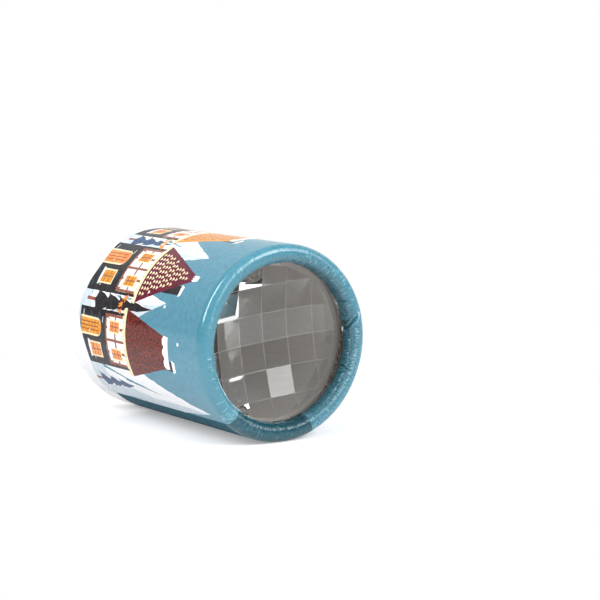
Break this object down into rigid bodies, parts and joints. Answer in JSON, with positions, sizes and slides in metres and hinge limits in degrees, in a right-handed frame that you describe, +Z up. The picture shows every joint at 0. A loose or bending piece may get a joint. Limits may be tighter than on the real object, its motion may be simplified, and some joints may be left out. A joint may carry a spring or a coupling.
{
  "type": "cardboard tube kaleidoscope",
  "caption": "Short paper-wrapped cardboard tube with rolled rims, a clear faceted lens in one end and a peephole in the other.",
  "frame": {"origin": "middle of the tube's underside where it lies on the table", "axes": "Y along the tube with the lens facing -Y and the peephole facing +Y, +Z up"},
  "size_m": [0.055, 0.076, 0.0548],
  "materials": {
    "printed_paper": "satin",
    "tube_board": "matte",
    "clear_acrylic": "polished",
    "white_glue": "satin",
    "ring_board": "matte",
    "liner_board": "matte",
    "disc_board": "matte",
    "white_paper": "matte",
    "clear_film": "polished"
  },
  "bodies": {
    "root": {"printed_wrap": "printed_paper", "outer_tube": "tube_board", "faceted_lens": "clear_acrylic", "lens_glue": "white_glue", "lens_spacer_ring": "ring_board", "liner_tube": "liner_board", "eye_disc": "disc_board", "eye_disc_facing": "white_paper", "eye_window": "clear_film"}
  },
  "joints": []
}
